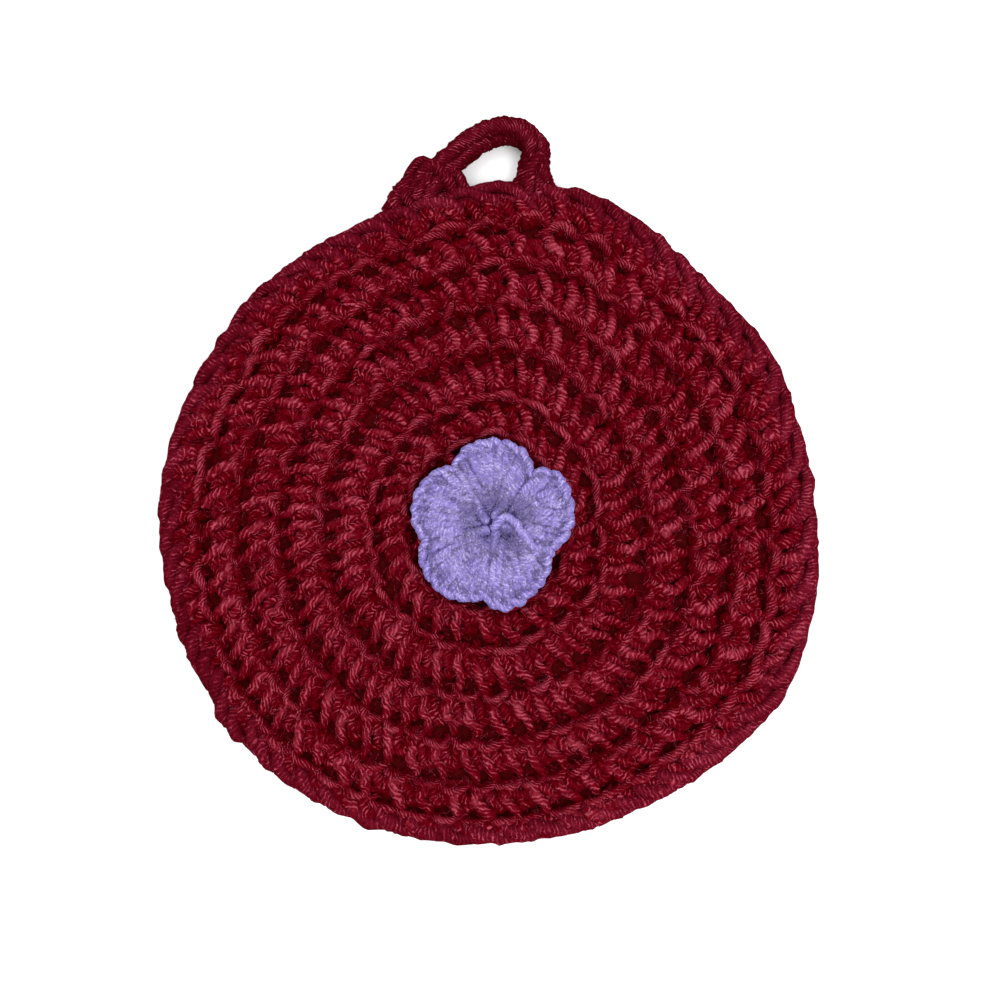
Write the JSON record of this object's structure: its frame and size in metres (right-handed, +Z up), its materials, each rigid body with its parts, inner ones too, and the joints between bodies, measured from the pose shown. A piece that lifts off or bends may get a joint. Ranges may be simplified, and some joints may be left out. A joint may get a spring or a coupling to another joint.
{
  "type": "crocheted pot holder",
  "caption": "Thick round crocheted pot holder worked in rounds, with a rope-like hanging loop at its edge and a small raised flower on its middle.",
  "frame": {"origin": "centre of the rounds of stitches, on the flat underside", "axes": "+Y from the centre towards the hanging loop, +Z up through the thickness to the side with the flower"},
  "size_m": [0.1936, 0.2183, 0.0135],
  "materials": {
    "burgundy_yarn": "matte plied yarn",
    "lilac_yarn": "matte fuzzy yarn"
  },
  "bodies": {
    "root": {"pad": "burgundy_yarn", "hanging_loop": "burgundy_yarn", "flower": "lilac_yarn"}
  },
  "joints": []
}
